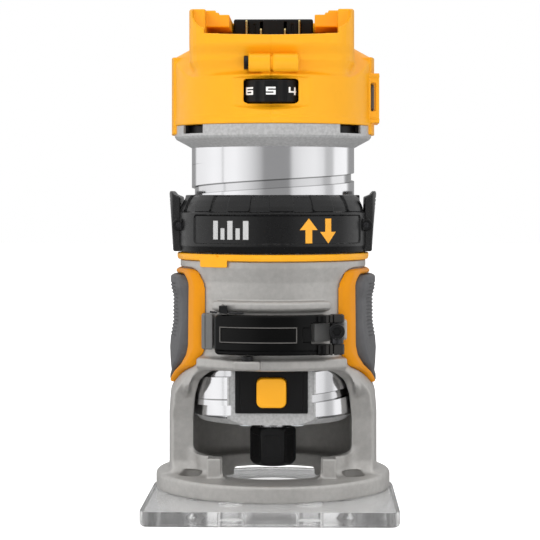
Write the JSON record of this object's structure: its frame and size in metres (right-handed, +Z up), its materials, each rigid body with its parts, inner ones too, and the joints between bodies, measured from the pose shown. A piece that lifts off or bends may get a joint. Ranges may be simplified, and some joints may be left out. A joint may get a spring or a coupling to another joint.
{
  "type": "cordless compact router",
  "caption": "Compact cordless router: motor unit with battery bay in a lever-clamped base with a clear sub-base, depth adjusting ring, collet and speed dial.",
  "frame": {"origin": "on the spindle axis, at the underside of the clear sub-base", "axes": "+Z up along the spindle axis towards the battery bay; -Y towards the straight front edge, the clamp lever and the dial; +X towards the power switch"},
  "size_m": [0.1016, 0.1195, 0.2058],
  "materials": {
    "clear_plastic": "clear moulded polycarbonate",
    "cast_aluminium": "blasted casting",
    "polished_aluminium": "turned and polished",
    "yellow_plastic": "fine moulded texture",
    "black_plastic": "fine moulded texture",
    "dark_grey_plastic": "moulded",
    "grey_rubber": "soft overmould",
    "steel": "machined",
    "black_steel": "black oxide",
    "spring_steel": "bright wire",
    "copper_winding": "enamelled wire",
    "lamination": "stacked laminations",
    "circuit_board": "solder resist",
    "led_lens": "clear lens",
    "terminal_metal": "plated",
    "lead_insulation": "wire insulation"
  },
  "bodies": {
    "base": {"sub_base_plate": "clear_plastic", "sub_base_screws": "steel", "base_casting": "cast_aluminium", "grip_trim_left": "yellow_plastic", "grip_trim_right": "yellow_plastic", "grip_pad_left": "grey_rubber", "grip_pad_right": "grey_rubber", "guide_pins": "steel", "guide_pin_screw": "black_steel", "lever_trunnion": "steel", "lever_adjust_screw": "black_steel", "lever_rest_pad": "dark_grey_plastic", "lever_catch": "black_steel", "lever_catch_spring": "spring_steel"},
    "lever": {"locking_lever": "black_plastic"},
    "clamp": {"clamp_shoe": "black_steel"},
    "scale_ring": {"depth_scale_ring": "yellow_plastic"},
    "adjust_ring": {"depth_ring": "black_plastic", "ring_thread_pins": "steel", "tab_pivot_pins": "steel", "tab_springs": "spring_steel"},
    "tab_left": {"release_tab_left": "black_plastic"},
    "tab_right": {"release_tab_right": "black_plastic"},
    "motor": {"motor_housing": "polished_aluminium", "spindle_lock_cover": "black_plastic", "spindle_lock_spring": "spring_steel", "led_lenses": "led_lens", "led_boards": "circuit_board", "lower_bearing": "steel", "bearing_retainer": "steel", "stator_core": "lamination", "stator_windings": "copper_winding", "upper_bearing": "steel", "bearing_plate": "black_plastic", "air_baffle": "black_plastic", "motor_leads": "lead_insulation", "control_board": "circuit_board", "speed_potentiometer": "dark_grey_plastic", "top_cover_left": "yellow_plastic", "top_cover_right": "yellow_plastic", "cover_screws": "black_steel", "battery_terminal_block": "black_plastic", "terminal_blades": "terminal_metal", "power_switch": "dark_grey_plastic"},
    "spindle": {"spindle_shaft": "steel", "rotor_core": "lamination", "rotor_magnets": "black_steel", "cooling_fan": "black_plastic", "collet": "steel", "collet_nut": "black_steel"},
    "lock_button": {"spindle_lock_button": "yellow_plastic", "spindle_lock_pin": "steel"},
    "dial": {"speed_dial": "black_plastic"},
    "switch": {"power_button": "dark_grey_plastic"}
  },
  "joints": [
    {"name": "lever_swing", "type": "hinge", "parent": "base", "child": "lever", "pos_m": [0.0266, -0.0372, 0.0727], "axis": [0, 0, 1], "range_deg": [0, 100]},
    {"name": "clamp_slide", "type": "slide", "parent": "base", "child": "clamp", "axis": [0.5, -0.866, 0], "range_m": [0, 0.000488]},
    {"name": "scale_turn", "type": "hinge", "parent": "base", "child": "scale_ring", "pos_m": [0, 0, 0.1036], "axis": [0, 0, 1], "continuous": true},
    {"name": "ring_turn", "type": "hinge", "parent": "base", "child": "adjust_ring", "pos_m": [0, 0, 0.117], "axis": [0, 0, 1], "range_deg": [-720.1, 360.1]},
    {"name": "depth_slide", "type": "slide", "parent": "base", "child": "motor", "axis": [0, 0, 1], "range_m": [-0.0127, 0.0254]},
    {"name": "tab_left_press", "type": "hinge", "parent": "adjust_ring", "child": "tab_left", "pos_m": [-0.0392, 0, 0.1168], "axis": [0, 1, 0], "range_deg": [0, 8]},
    {"name": "tab_right_press", "type": "hinge", "parent": "adjust_ring", "child": "tab_right", "pos_m": [0.0392, 0, 0.1168], "axis": [0, -1, 0], "range_deg": [0, 8]},
    {"name": "spindle_spin", "type": "hinge", "parent": "motor", "child": "spindle", "pos_m": [0, 0, 0.05], "axis": [0, 0, 1], "continuous": true},
    {"name": "lock_press", "type": "slide", "parent": "motor", "child": "lock_button", "axis": [0, 1, 0], "range_m": [0, 0.003], "deforming": ["spindle_lock_spring"]},
    {"name": "dial_turn", "type": "hinge", "parent": "motor", "child": "dial", "pos_m": [0, -0.0293, 0.1712], "axis": [0, 0, 1], "range_deg": [-80, 160]},
    {"name": "switch_press", "type": "slide", "parent": "motor", "child": "switch", "axis": [-1, 0, 0], "range_m": [0, 0.002]}
  ],
  "couplings": [
    {"joint": "ring_turn", "follows": "depth_slide", "rad_per_m": -494.74},
    {"joint": "lever_swing", "follows": "clamp_slide", "rad_per_m": 3571.4}
  ]
}
